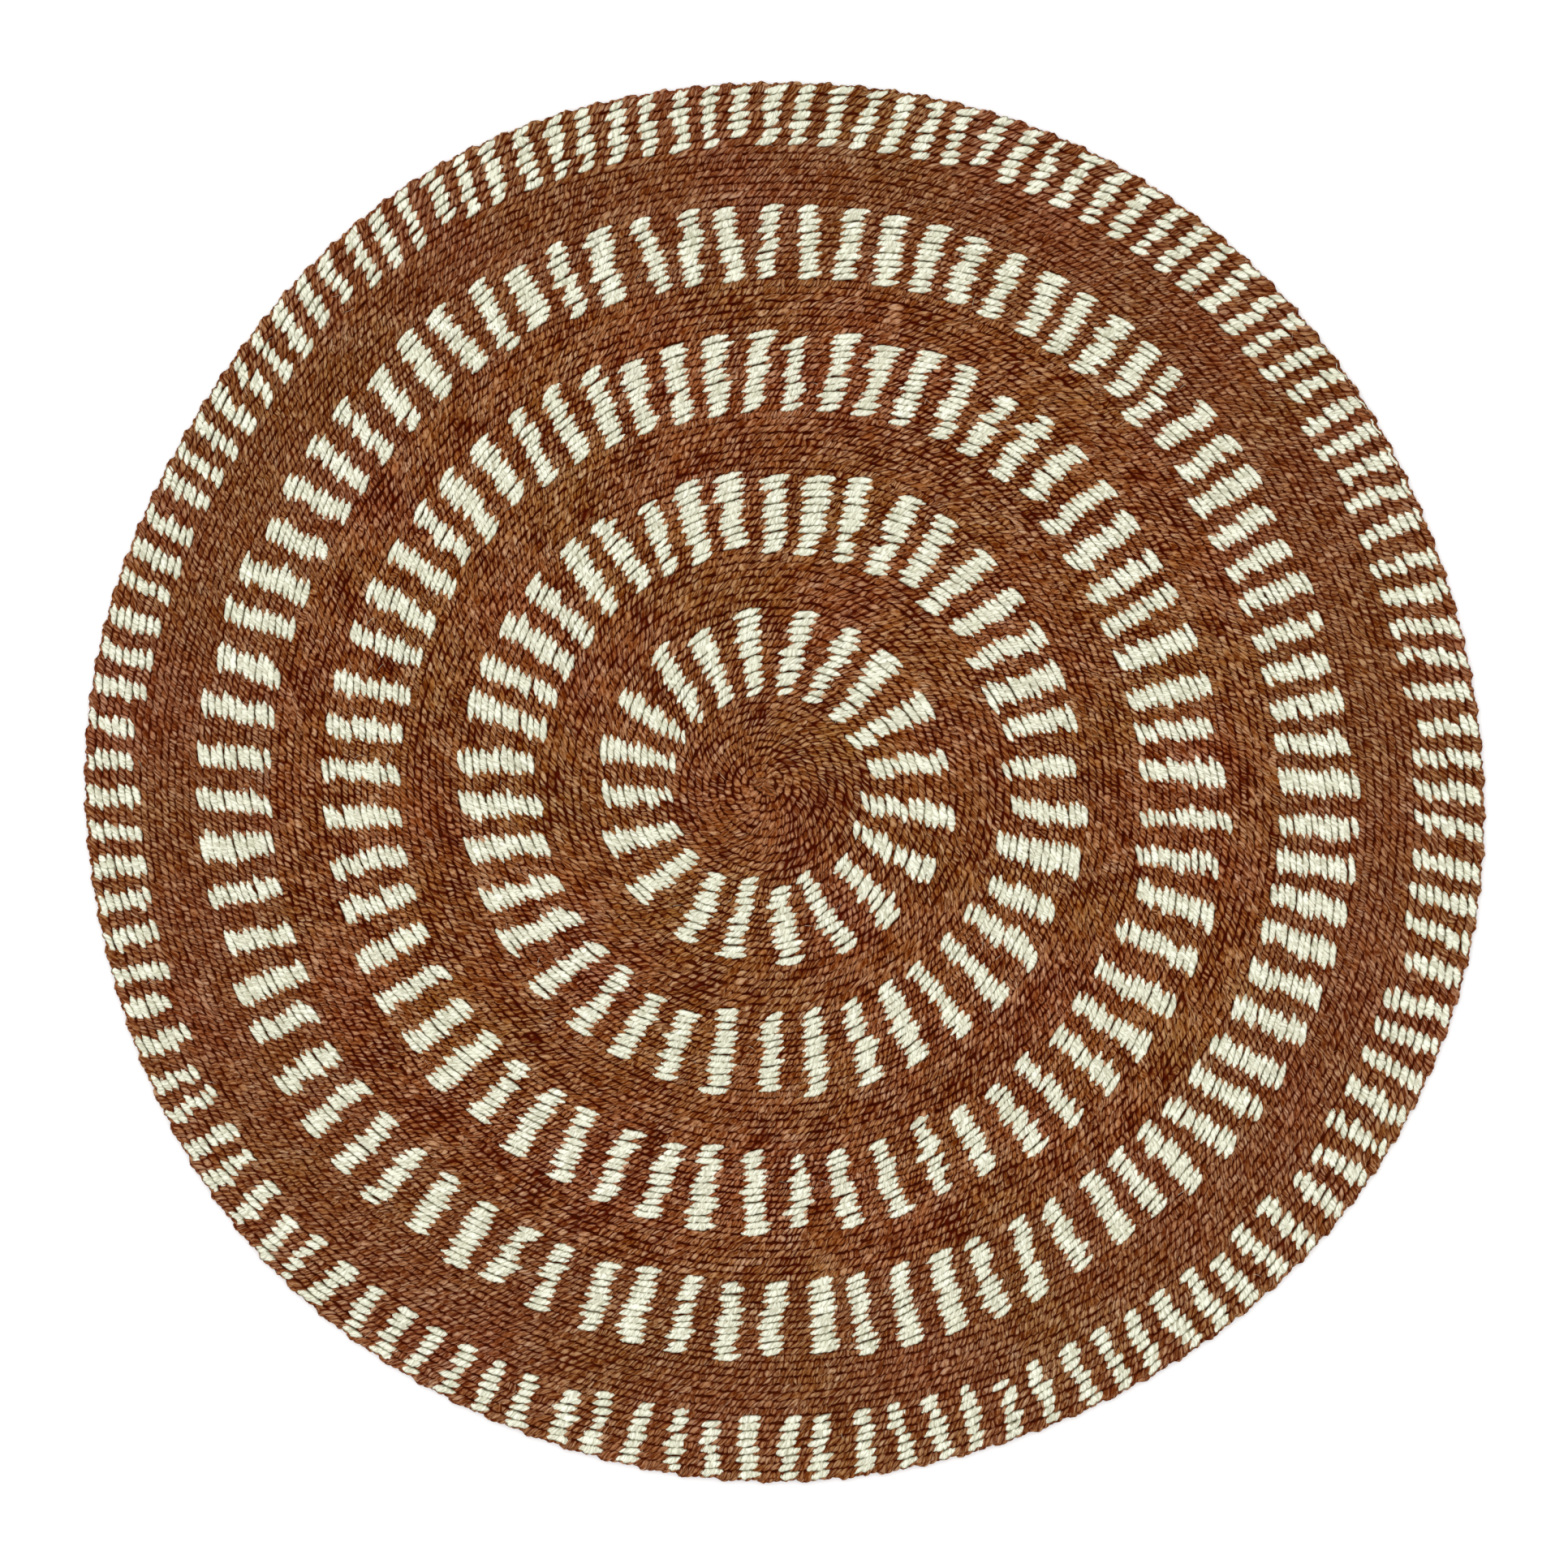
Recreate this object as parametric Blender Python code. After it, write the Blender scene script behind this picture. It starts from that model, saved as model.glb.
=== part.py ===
"""Round jute rug: one flat mat, twined in a spiral from its middle to its rim.

The rug is a single closed solid that rests flat on its underside.  Its top face is
raised in the rounds of the twined weft: a crest runs outward in one long spiral, with
a groove beside it.  The rounds are finer in the patterned bands than in the plain
rings between them, they sit a little off the middle of the mat, and the rim is as
uneven as a hand-made edge is.

Units are metres, +Z is up, and the origin is the middle of the underside.
"""
import math
from collections import namedtuple

import bmesh
import bpy
from mathutils import Vector
from mathutils.geometry import delaunay_2d_cdt

# ---- Driving dimensions ---------------------------------------------------------------
DIAMETER = 0.900          # mean width across the rim
THICKNESS = 0.008         # underside to the crest of a round
GROOVE_DEPTH = 0.0015     # crest of a round down to the groove beside it
RIM_HEIGHT = 0.0036       # height of the widest line of the rim
RIM_TUCK = 0.0014         # how far the underside's edge lies inside the rim
MIDDLE_RADIUS = DIAMETER / 2

# The rug from the middle outward.  A zone's rounds fill it evenly, and shift is how far
# the zone's outer edge lies off the middle of the mat, toward -X.
Zone = namedtuple("Zone", "name outer_radius rounds shift")
ZONES = (
    Zone("middle", 0.0623, 12, 0.0094),
    Zone("band_1", 0.1146, 11, 0.0060),
    Zone("ring_1", 0.1501, 7, 0.0067),
    Zone("band_2", 0.2020, 12, 0.0072),
    Zone("ring_2", 0.2399, 8, 0.0074),
    Zone("band_3", 0.2905, 12, 0.0060),
    Zone("ring_3", 0.3252, 7, 0.0051),
    Zone("band_4", 0.3719, 11, 0.0055),
    Zone("ring_4", 0.4104, 8, 0.0031),
    Zone("band_5", MIDDLE_RADIUS, 7, 0.0),
)
START_SHIFT = 0.0136      # the start of the spiral lies this far off the middle

# The uneven rim: so many waves around it, each this high, at its highest at this angle
Wave = namedtuple("Wave", "count height_mm peak_deg")
RIM_WAVES = (
    Wave(2, 0.78, -68.0),
    Wave(3, 3.02, -22.0),
    Wave(4, 0.96, -34.0),
    Wave(5, 1.33, -24.0),
    Wave(6, 0.75, -8.0),
    Wave(7, 0.95, 16.0),
    Wave(8, 0.49, -9.0),
)

# The last round closes on itself, and the spiral runs out against it
FIRST_ROUND = 0.9         # the crest starts this many rounds out from the middle
LAST_CREST = 0.45         # rounds between the rim and the crest of the closed last round
CREST_STOP = 1.05         # rounds between the rim and the end of the spiral's crest
GROOVE_STOP = 0.75        # rounds between the rim and the end of the spiral's groove

# The rim steps out and in again where each bar of the outer band meets it
OUTER_BARS = 121
SCALLOP = 0.0005

# How finely the spiral and the rim are drawn
CHORD_SAG = 0.0013        # how far a straight edge of the spiral may cut its curve
FEWEST_PER_ROUND = 9      # points in the smallest rounds
RIM_POINTS = 2 * OUTER_BARS
LAST_CREST_POINTS = OUTER_BARS // 2
MERGE_DISTANCE = 0.00005

RUST_BROWN = (0.195, 0.060, 0.018, 1.0)
YARN_ROUGHNESS = 0.9


def round_count():
    """Return how many rounds the rug has in all."""
    return sum(zone.rounds for zone in ZONES)


def radius_and_shift(turns):
    """Return the mean radius and the shift at so many rounds from the middle."""
    inner_radius, inner_shift = 0.0, START_SHIFT
    for zone in ZONES:
        if turns <= zone.rounds:
            break
        turns -= zone.rounds
        inner_radius, inner_shift = zone.outer_radius, zone.shift
    share = turns / zone.rounds
    radius = inner_radius + share * (zone.outer_radius - inner_radius)
    shift = inner_shift + share * (zone.shift - inner_shift)
    return radius, shift


def rim_bulge(angle):
    """Return how far the rim stands outside its mean circle at an angle."""
    return sum(
        wave.height_mm / 1000 * math.cos(wave.count * (angle - math.radians(wave.peak_deg)))
        for wave in RIM_WAVES
    )


def place(turns, angle):
    """Return the point in plan at so many rounds out, in a direction from the middle.

    The rim's unevenness fades inward, because each round follows the one inside it.
    """
    radius, shift = radius_and_shift(turns)
    reach = radius / MIDDLE_RADIUS
    radius += rim_bulge(angle) * reach ** 2
    return Vector((radius * math.cos(angle) - shift, radius * math.sin(angle)))


def points_per_round(radius):
    """Return how many straight edges draw a round of this radius."""
    sag = min(CHORD_SAG / radius, 1.0)
    return max(FEWEST_PER_ROUND, math.ceil(math.pi / math.acos(1 - sag)))


def spiral(lead, stop):
    """Return the points of one spiral, which winds outward a round each time around.

    lead is how many rounds it lies outside the spiral that starts in the middle, and
    stop is how many rounds short of the rim it ends.
    """
    points = []
    turn = FIRST_ROUND
    while turn + lead <= round_count() - stop:
        points.append(place(turn + lead, 2 * math.pi * turn))
        radius, _ = radius_and_shift(turn + lead)
        turn += 1 / points_per_round(radius)
    return points


def last_crest():
    """Return the closed crest of the last round."""
    turns = round_count() - LAST_CREST
    step = 2 * math.pi / LAST_CREST_POINTS
    return [place(turns, step * index) for index in range(LAST_CREST_POINTS)]


def rim_outline(inset):
    """Return the rim as a closed loop of points, drawn in by inset all around."""
    points = []
    for index in range(RIM_POINTS):
        on_rim = place(round_count(), 2 * math.pi * index / RIM_POINTS)
        scallop = SCALLOP if index % 2 else -SCALLOP
        points.append(on_rim + (scallop - inset) * on_rim.normalized())
    return points


def middle_of(points):
    """Return the middle of the box around the points."""
    xs = [point.x for point in points]
    ys = [point.y for point in points]
    return Vector(((min(xs) + max(xs)) / 2, (min(ys) + max(ys)) / 2))


def chain(first, count, closed=False):
    """Return the edges that join a run of points in order."""
    edges = [(index, index + 1) for index in range(first, first + count - 1)]
    if closed:
        edges.append((first + count - 1, first))
    return edges


def top_face_plan():
    """Return the top face as points in plan, their heights and the triangles between.

    The rim's points come first, then the last round's crest, and then the spiral's
    crest and its groove.
    """
    runs = (
        (rim_outline(0.0), RIM_HEIGHT, True),
        (last_crest(), THICKNESS, True),
        (spiral(0.0, CREST_STOP), THICKNESS, False),
        (spiral(0.5, GROOVE_STOP), THICKNESS - GROOVE_DEPTH, False),
    )
    flat, heights, edges = [], [], []
    for points, height, closed in runs:
        edges += chain(len(flat), len(points), closed)
        flat += points
        heights += [height] * len(points)
    kept, _, triangles, _, _, _ = delaunay_2d_cdt(flat, edges, [], 1, MERGE_DISTANCE)
    if len(kept) != len(flat):
        raise ValueError("two points of the top face fall together")
    return kept, heights, triangles


def build_mat():
    """Build the rug's one solid and return its mesh."""
    flat, heights, triangles = top_face_plan()
    underside = rim_outline(RIM_TUCK)
    centre = middle_of(rim_outline(0.0))
    mesh_build = bmesh.new()
    top = [
        mesh_build.verts.new((point.x - centre.x, point.y - centre.y, height))
        for point, height in zip(flat, heights)
    ]
    bottom = [
        mesh_build.verts.new((point.x - centre.x, point.y - centre.y, 0.0))
        for point in underside
    ]
    for corners in triangles:
        mesh_build.faces.new([top[corner] for corner in corners])
    mesh_build.faces.new(bottom[::-1])
    loop_edges = []
    for loop in (top[:RIM_POINTS], bottom):
        for start, end in zip(loop, loop[1:] + loop[:1]):
            loop_edges.append(mesh_build.edges.get((start, end)))
    bmesh.ops.bridge_loops(mesh_build, edges=loop_edges)
    bmesh.ops.recalc_face_normals(mesh_build, faces=mesh_build.faces)
    mesh = bpy.data.meshes.new("rug")
    mesh_build.to_mesh(mesh)
    mesh_build.free()
    return mesh


def yarn_material():
    """Return the plain finish of the dyed jute yarn."""
    material = bpy.data.materials.new("dyed_jute_yarn")
    material.use_nodes = True
    shader = material.node_tree.nodes["Principled BSDF"]
    shader.inputs["Base Color"].default_value = RUST_BROWN
    shader.inputs["Roughness"].default_value = YARN_ROUGHNESS
    shader.inputs["Metallic"].default_value = 0.0
    return material


def main():
    """Empty the scene and build the rug in its own collection."""
    for item in list(bpy.data.objects):
        bpy.data.objects.remove(item, do_unlink=True)
    collection = bpy.data.collections.new("round_jute_rug")
    bpy.context.scene.collection.children.link(collection)
    mesh = build_mat()
    mesh.materials.append(yarn_material())
    collection.objects.link(bpy.data.objects.new("rug", mesh))


main()
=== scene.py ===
"""Looks of the round jute rug: every stretch of its twined yarn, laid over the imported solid.

The rug is twined in one spiral.  Two strands of two-ply jute turn about each other around
hidden radial warps, so each strand shows as a row of short floats: rust-brown in the
plain rings, and rust-brown and cream in turn in the five patterned bands.  RugPlan says
where the rounds lie, YarnWork turns stretches of them into raised yarn, and the classes
after it weave the zones, the underside, the edge, the start and the loose hairs.

Units are metres, +Z is up, and the origin is the middle of the underside.
"""

import logging
import math
from dataclasses import dataclass, field, replace
from enum import Enum
from typing import Any

import bmesh
import bpy
import numpy as np
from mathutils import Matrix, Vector


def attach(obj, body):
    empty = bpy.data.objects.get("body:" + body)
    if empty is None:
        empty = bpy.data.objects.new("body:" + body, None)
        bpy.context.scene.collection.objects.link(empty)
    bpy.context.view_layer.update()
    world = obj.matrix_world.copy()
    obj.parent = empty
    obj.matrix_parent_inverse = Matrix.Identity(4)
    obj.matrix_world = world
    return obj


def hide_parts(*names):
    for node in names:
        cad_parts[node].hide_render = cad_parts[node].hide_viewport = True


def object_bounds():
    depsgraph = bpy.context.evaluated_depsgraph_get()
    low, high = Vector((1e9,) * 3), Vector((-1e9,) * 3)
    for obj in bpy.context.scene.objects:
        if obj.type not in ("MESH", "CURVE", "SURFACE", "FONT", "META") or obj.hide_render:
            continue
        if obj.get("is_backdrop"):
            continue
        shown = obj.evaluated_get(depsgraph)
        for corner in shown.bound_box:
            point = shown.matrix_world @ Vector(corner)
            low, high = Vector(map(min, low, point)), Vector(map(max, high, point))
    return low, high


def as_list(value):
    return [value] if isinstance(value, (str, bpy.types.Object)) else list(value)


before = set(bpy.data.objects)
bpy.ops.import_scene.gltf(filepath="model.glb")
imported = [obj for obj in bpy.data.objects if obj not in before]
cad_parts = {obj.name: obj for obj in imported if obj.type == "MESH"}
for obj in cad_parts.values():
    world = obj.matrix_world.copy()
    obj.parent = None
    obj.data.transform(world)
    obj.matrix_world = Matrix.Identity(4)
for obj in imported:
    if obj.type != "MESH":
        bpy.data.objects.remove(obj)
CAD_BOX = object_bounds()
LOG = logging.getLogger("round_jute_rug")

Array = np.ndarray
Chance = np.random.Generator
Material = bpy.types.Material
Node = bpy.types.Node
Socket = bpy.types.NodeSocket
Tree = bpy.types.NodeTree
Piece = bpy.types.Object
Stops = tuple[tuple[float, str], ...]

TURN = 2 * math.pi
SEED = 20
UNDERSIDE_SEED = SEED + 50
HAIR_SEED = SEED + 60
CAD_NODE = "rug"
BODY = "root"
YARN_MAP = "Yarn"
BAKE_MAP = "OFBake"
TEXEL = 1 / 1024
# Nearly all of a noise's values lie between these two
NOISE_LOW, NOISE_HIGH = 0.3, 0.7
# Pieces number their ply turns from starts far apart, so that their shades differ
ZONE_PLIES = 5000
UNDER_PLY, EDGE_PLY, KNOT_PLY, HAIR_PLY = 60000, 90000, 95000, 98000
LOOP_PLIES = 20               # numbers kept for the ply turns of one loop of the knot


class Dye(Enum):
    """Which of the two wefts a stretch of yarn belongs to."""

    RUST = 0
    CREAM = 1


class Side(Enum):
    """Which side of the rug a stretch of yarn shows on."""

    UPPER = 1
    UNDER = -1


# ---- Nodes and colours ----------------------------------------------------------------
def linear(hex_colour: str) -> tuple[float, float, float, float]:
    """Turn an sRGB hex colour into linear light.

    Args:
        hex_colour: six hex digits, such as "9a6647".

    Returns:
        Red, green, blue and an alpha of one.
    """
    channels = [int(hex_colour[at:at + 2], 16) / 255 for at in (0, 2, 4)]
    red, green, blue = [
        value / 12.92 if value <= 0.04045 else ((value + 0.055) / 1.055) ** 2.4
        for value in channels
    ]
    return red, green, blue, 1.0


def add_node(
    tree: Tree,
    kind: str,
    settings: dict[Any, Any] | None = None,
    links: dict[Any, Node | Socket] | None = None,
    stops: Stops = (),
    **options: Any,
) -> Node:
    """Add a node with its settings and links.

    Args:
        tree: the material's node tree.
        kind: the node's type, after its ShaderNode.
        settings: values for inputs, by name or number.
        links: what feeds inputs, by name or number: an output, or a node for its first
            output in use.
        stops: places from 0 to 1 and their sRGB hex colours, where the node has a ramp.
        **options: the node's own choices, such as its operation.

    Returns:
        The new node.
    """
    made = tree.nodes.new(f"ShaderNode{kind}")
    for name, value in options.items():
        setattr(made, name, value)
    for key, value in (settings or {}).items():
        made.inputs[key].default_value = value
    for key, source in (links or {}).items():
        if isinstance(source, Node):
            source = next(output for output in source.outputs if output.enabled)
        tree.links.new(source, made.inputs[key])
    for index, (place, colour) in enumerate(stops):
        elements = made.color_ramp.elements
        element = elements[index] if index < len(elements) else elements.new(place)
        element.position = place
        element.color = linear(colour)
    return made


def new_material(name: str, roughness: float) -> tuple[Material, Tree, Node]:
    """Start a matt material.

    Args:
        name: the material's name.
        roughness: how rough it is, from 0 to 1.

    Returns:
        The material, its node tree and its Principled shader.
    """
    material = bpy.data.materials.new(name)
    material.use_nodes = True
    tree = material.node_tree
    shader = tree.nodes["Principled BSDF"]
    shader.inputs["Roughness"].default_value = roughness
    shader.inputs["Specular IOR Level"].default_value = 0.02
    return material, tree, shader


# ---- Finishes -------------------------------------------------------------------------
@dataclass(frozen=True)
class JuteYarn:
    """Hand-spun two-ply jute: matt and dry, each ply turn a slightly different shade.

    The map named Yarn runs along the yarn in ply turns, with whole numbers at the creases
    between them, and from 0 to 1 across it.  So the painted shade of the creases and of the
    sides, and the fibres of a ply, follow the yarn wherever it goes.
    """

    name: str
    # The crease and side fields paint shade: a dark colour mixed in between ply turns and along the
    # yarn's sides
    crease: str                 # dye in painted shade, deep between two plies and along the yarn's sides
    shades: Stops               # from the dullest yarn to the brightest
    turn_shift: float           # how far apart ply turns lie in shade
    fibre_shift: float          # how far apart bundles of fibres lie in shade
    patch_shift: float          # how far slow patches of dye shift the shade
    crease_shade_depth: float         # how much of the painted crease shade shows
    crease_start: float         # from 0 in the middle of a ply turn to 1
    crease_stop: float          # at its outline: where the crease darkens
    crease_reach: float         # how near a crease comes along the yarn
    side_reach: float           # and across it
    fleck: str                  # bark and shadow between bundles of fibres
    fleck_share: float
    sheen: float
    roughness: float = 0.92
    # Single fibres are 0.1 mm across and would not show, so they are drawn as bundles
    bundles: float = 3.0        # bundles of fibres along a ply turn of 3.9 mm
    bundle_breaks: float = 1.3  # breaks in a bundle on its way over the yarn
    fleck_low: float = 0.38     # fibre noise below which flecks are darkest
    fleck_high: float = 0.58    # and above which there are none
    squareness: float = 2.6     # how square a ply turn is, from 2 as an oval
    patch_size: float = 0.015   # metres between patches of dye
    # Slow patches move how far the painted crease shade reaches
    crease_shade_patch_size: float = 0.016    # metres between places where plies are parted
    crease_shade_shift: float = 0.70          # how far that moves the crease
    hue_shift: float = 0.013    # how far the dye turns to red or olive
    hue_size: float = 0.10      # metres between patches of that
    hue_layer: float = 7.0      # where that noise lies, apart from the others

    def make(self) -> Material:
        """Make the material.

        Returns:
            The material, with its colour and bump from nodes.
        """
        material, tree, shader = new_material(self.name, self.roughness)
        places = add_node(tree, "UVMap", uv_map=YARN_MAP)
        split = add_node(tree, "SeparateXYZ", links={0: places})
        # Fibres lie along a ply, which crosses the yarn
        bundled = add_node(
            tree, "VectorMath", {1: (self.bundles, self.bundle_breaks, 0.0)}, {0: places},
            operation="MULTIPLY",
        )
        fibres = add_node(
            tree, "TexNoise", {"Scale": 1.0, "Detail": 3.0, "Roughness": 0.65},
            {"Vector": bundled}, noise_dimensions="2D",
        )
        flecks = add_node(
            tree, "MapRange",
            {"From Min": self.fleck_low, "From Max": self.fleck_high,
             "To Min": self.fleck_share, "To Max": 0.0},
            {"Value": fibres},
        )
        colour = self._shade(tree, split, fibres)
        # Mix in the flecks, bark and painted shadow between fibre bundles, then the painted crease
        # shade
        for share, dark in ((flecks, self.fleck), (self._painted_crease_shade(tree, split), self.crease)):
            colour = add_node(
                tree, "Mix", {"B": linear(dark)}, {"Factor": share, "A": colour},
                data_type="RGBA",
            )
        bump = add_node(tree, "Bump", {"Strength": 0.8, "Distance": 0.0004}, {"Height": fibres})
        tree.links.new(colour.outputs["Result"], shader.inputs["Base Color"])
        tree.links.new(bump.outputs["Normal"], shader.inputs["Normal"])
        shader.inputs["Sheen Weight"].default_value = self.sheen
        return material

    def _patches(
        self, tree: Tree, size: float, middle: float, reach: float, settings: dict[str, float],
        **options: Any,
    ) -> Node:
        """Add slow patches over the rug, which move a value to and fro.

        Args:
            tree: the material's node tree.
            size: metres between patches.
            middle: the value that they move.
            reach: how far they move it, either way.
            settings: the noise's own inputs.
            **options: and its choices.

        Returns:
            The node that gives the value.
        """
        noise = add_node(
            tree, "TexNoise", {"Scale": 1 / size, **settings},
            {"Vector": add_node(tree, "TexCoord").outputs["Object"]}, **options,
        )
        return add_node(
            tree, "MapRange",
            {"From Min": NOISE_LOW, "From Max": NOISE_HIGH, "To Min": middle - reach,
             "To Max": middle + reach},
            {"Value": noise},
        )

    def _shade(self, tree: Tree, split: Node, fibres: Node) -> Node:
        """Add each ply turn's colour, shifted by its fibres and by patches of dye.

        Args:
            tree: the material's node tree.
            split: the node that gives the way along the yarn and across it.
            fibres: the noise of the fibres.

        Returns:
            The node that gives the colour.
        """
        turn = add_node(tree, "Math", links={0: split.outputs["X"]}, operation="FLOOR")
        chance = add_node(tree, "TexWhiteNoise", links={"W": turn}, noise_dimensions="1D")
        own = add_node(
            tree, "MapRange",
            {"To Min": 0.5 - self.turn_shift / 2, "To Max": 0.5 + self.turn_shift / 2},
            {"Value": chance},
        )
        patches = self._patches(
            tree, self.patch_size, 0.0, self.patch_shift, {"Detail": 4.0, "Roughness": 0.6}
        )
        streaked = add_node(
            tree, "Math", {1: self.fibre_shift, 2: -self.fibre_shift / 2}, {0: fibres},
            operation="MULTIPLY_ADD",
        )
        dyed = add_node(tree, "Math", links={0: own, 1: patches}, operation="ADD")
        picked = add_node(
            tree, "Math", links={0: dyed, 1: streaked}, operation="ADD", use_clamp=True
        )
        ramp = add_node(tree, "ValToRGB", links={"Fac": picked}, stops=self.shades)
        hue = self._patches(
            tree, self.hue_size, 0.5, self.hue_shift,
            {"Detail": 4.0, "Roughness": 0.5, "W": self.hue_layer}, noise_dimensions="4D",
        )
        return add_node(tree, "HueSaturation", links={"Hue": hue, "Color": ramp})

    def _painted_crease_shade(self, tree: Tree, split: Node) -> Node:
        """Add the share of painted crease shade around each rounded ply turn and along its sides.

        Args:
            tree: the material's node tree.
            split: the node that gives the way along the yarn and across it.

        Returns:
            The node that gives the share.
        """
        part = add_node(tree, "Math", links={0: split.outputs["X"]}, operation="FRACT")
        sides = []
        for near, reach in ((part, self.crease_reach), (split.outputs["Y"], self.side_reach)):
            for operation, number in (
                ("SUBTRACT", 0.5), ("ABSOLUTE", 0.0), ("MULTIPLY", 2 * reach),
                ("POWER", self.squareness),
            ):
                near = add_node(tree, "Math", {1: number}, {0: near}, operation=operation)
            sides.append(near)
        both = add_node(tree, "Math", links={0: sides[0], 1: sides[1]}, operation="ADD")
        # Slow patches widen or narrow the painted crease shade
        crease_shade_noise = self._patches(
            tree, self.crease_shade_patch_size, 0.0, self.crease_shade_shift, {"Detail": 6.0, "Roughness": 0.71}
        )
        uneven = add_node(tree, "Math", links={0: both, 1: crease_shade_noise}, operation="ADD")
        return add_node(
            tree, "MapRange",
            {"From Min": self.crease_start, "From Max": self.crease_stop,
             "To Max": self.crease_shade_depth},
            {"Value": uneven}, interpolation_type="SMOOTHSTEP",
        )


@dataclass(frozen=True)
class PlainGround:
    """Matt surface of one soft noise, such as packed warp ends or a painted floor."""

    name: str
    low: str
    high: str
    grain: float              # metres between the noise's patches
    roughness: float

    def make(self) -> Material:
        """Make the material.

        Returns:
            The material.
        """
        material, tree, shader = new_material(self.name, self.roughness)
        noise = add_node(
            tree, "TexNoise", {"Scale": 1 / self.grain, "Detail": 3.0},
            {"Vector": add_node(tree, "TexCoord").outputs["Object"]},
        )
        ramp = add_node(
            tree, "ValToRGB", links={"Fac": noise},
            stops=((NOISE_LOW, self.low), (NOISE_HIGH, self.high)),
        )
        tree.links.new(ramp.outputs["Color"], shader.inputs["Base Color"])
        return material


# Jute dyed in the hank: the dye takes unevenly, so the yarn runs from red-brown to ochre
RUST_JUTE = JuteYarn(
    name="rust_dyed_two_ply_jute",
    # Painted shade in the creases between plies and along the yarn's sides
    crease="440c00",
    shades=(
        (0.0, "773a0b"), (0.25, "8a4e1e"), (0.5, "9c673d"), (0.75, "ae815c"), (1.0, "be9b7d"),
    ),
    turn_shift=0.30,
    fibre_shift=1.4,
    patch_shift=0.14,
    crease_shade_depth=1.0,
    crease_start=0.15,
    crease_stop=1.08,
    crease_reach=1.0,
    side_reach=1.12,
    fleck="501900",
    fleck_share=0.85,
    sheen=0.0,
)
# The outer rounds are of softer yarn: its plies lie close, so less painted shadow shows in their
# creases
SOFT_RUST_JUTE = replace(
    RUST_JUTE,
    name="soft_rust_dyed_two_ply_jute",
    crease="4a1403",
    shades=(
        (0.0, "743c10"), (0.25, "854e24"), (0.5, "966540"), (0.75, "a67c5a"), (1.0, "b59478"),
    ),
    crease_shade_shift=0.36,
)
# Undyed, washed jute: pale cream with a green cast, its plies hardly parted
CREAM_JUTE = JuteYarn(
    name="undyed_cream_two_ply_jute",
    # Painted shade in the creases between plies and along the yarn's sides
    crease="6d6746",
    shades=((0.0, "d6d7bf"), (0.5, "e7e7d2"), (1.0, "f4f5e4")),
    turn_shift=0.4,
    fibre_shift=0.8,
    patch_shift=0.3,
    crease_shade_depth=0.72,
    crease_start=0.62,
    crease_stop=1.30,
    crease_reach=0.92,
    side_reach=1.4,
    fleck="9a9478",
    fleck_share=0.6,
    sheen=0.03,
    crease_shade_shift=0.44,
    hue_shift=0.008,
)
# The warps and the backs of the floats, seen only between the strands: coloured dark as painted
# shadow
PACKED_WARP_IN_PAINTED_SHADE = PlainGround("packed_jute_warp_in_painted_shade", "3a0d00", "5c2408", 0.003, 0.95)
PALE_FLOOR = PlainGround("matt_white_floor", "f4f4f4", "f7f7f7", 0.4, 0.85)


# ---- The plan of the rug --------------------------------------------------------------
@dataclass(frozen=True)
class Bars:
    """The cream bars of one patterned band."""

    count: int
    first: float              # degrees counterclockwise from +X to one of them
    drift: float              # degrees that the bars crowd toward one side, at most
    drift_toward: float       # direction where they have slipped furthest, in degrees
    uneven: float             # how far off its place a bar sits, as a share of the spacing
    share: float              # of the spacing that its cream floats take up
    share_spread: float       # how much one bar differs from the next
    lean: float               # degrees that a bar leans clockwise as it runs outward
    lean_spread: float


@dataclass(frozen=True)
class Zone:
    """One zone of the rug, a plain ring or a patterned band."""

    name: str
    outer_radius: float
    rounds: int
    shift: float              # how far its outer edge lies off the middle, toward -X
    rise: float               # and toward +Y
    bars: Bars | None = None


@dataclass(frozen=True)
class Wave:
    """One wave in the rim's outline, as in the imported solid."""

    count: int
    height: float
    peak: float               # degrees

    def at(self, angle: Array) -> Array:
        """Return the wave's height at these angles."""
        return self.height * np.cos(self.count * (angle - math.radians(self.peak)))


@dataclass(frozen=True)
class Sway:
    """A slow bend that the weaver's uneven pull gives to every round."""

    count: int
    height: float
    lag: float                # radians that the bend turns with each round


@dataclass(frozen=True)
class Ruck:
    """A patch where uneven pull has let the rounds ripple outward and inward."""

    radius: float             # of its middle
    reach: float              # how far it fades inward and outward
    angle: float              # degrees to its middle
    spread: float             # degrees over which it fades sideways
    count: int                # ripples to a whole turn
    height: float

    def at(self, radius: Array, angle: Array) -> Array:
        """Return how far outward the rounds lie at these places."""
        off = (angle - math.radians(self.angle) + math.pi) % TURN - math.pi
        fade = (off / math.radians(self.spread)) ** 2 + ((radius - self.radius) / self.reach) ** 2
        return self.height * np.exp(-fade) * np.cos(self.count * off)


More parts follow.
